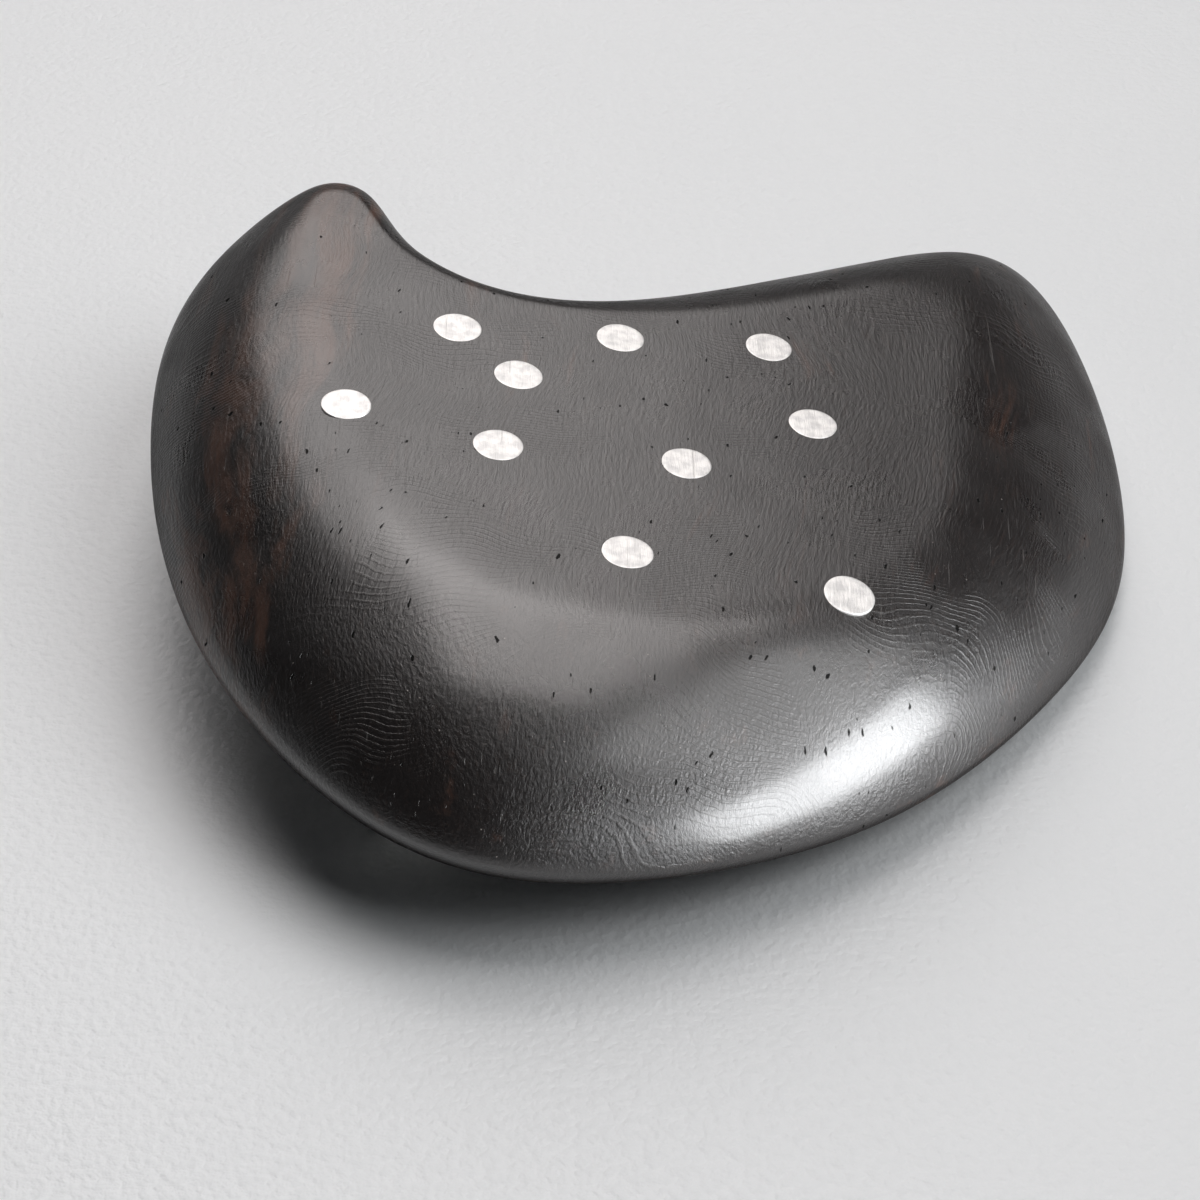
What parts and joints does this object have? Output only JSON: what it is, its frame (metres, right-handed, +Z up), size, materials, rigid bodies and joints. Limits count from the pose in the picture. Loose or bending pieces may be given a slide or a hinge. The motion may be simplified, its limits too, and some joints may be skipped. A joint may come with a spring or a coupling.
{
  "type": "brooch",
  "caption": "Kidney-shaped domed wooden brooch with round silver pins inlaid in its face, and a hinged pin back with a turning safety catch.",
  "frame": {"origin": "middle of the brooch's box, on the table that it lies on, domed face up", "axes": "+Z up from the table; +Y along the stem from its point to its hinge, towards the notch; +X towards the broad horn, the side the brooch leans down to"},
  "size_m": [0.0416, 0.0434, 0.0115],
  "materials": {
    "ebony": "hand-polished satin, open pores",
    "inlay_silver": "sanded flush, fine satin",
    "finding_steel": "silver-plated, lightly brushed",
    "stem_steel": "bright drawn wire"
  },
  "bodies": {
    "brooch": {"wood_body": "ebony", "inlay_pin_01": "inlay_silver", "inlay_pin_02": "inlay_silver", "inlay_pin_03": "inlay_silver", "inlay_pin_04": "inlay_silver", "inlay_pin_05": "inlay_silver", "inlay_pin_06": "inlay_silver", "inlay_pin_07": "inlay_silver", "inlay_pin_08": "inlay_silver", "inlay_pin_09": "inlay_silver", "inlay_pin_10": "inlay_silver", "base_bar": "finding_steel", "bar_screw_front": "stem_steel", "bar_screw_back": "stem_steel", "hinge_joint": "finding_steel", "hinge_rivet": "stem_steel", "catch_housing": "finding_steel"},
    "stem": {"pin_stem": "stem_steel"},
    "sleeve": {"safety_sleeve": "finding_steel"}
  },
  "joints": [
    {"name": "stem_hinge", "type": "hinge", "parent": "brooch", "child": "stem", "pos_m": [-0.00957, 0.00743, 0.0017], "axis": [0.9906, 0, -0.1368], "range_deg": [0, 120]},
    {"name": "sleeve_turn", "type": "hinge", "parent": "brooch", "child": "sleeve", "pos_m": [-0.00957, -0.01357, 0.0017], "axis": [0, -1, 0], "range_deg": [0, 170]}
  ]
}
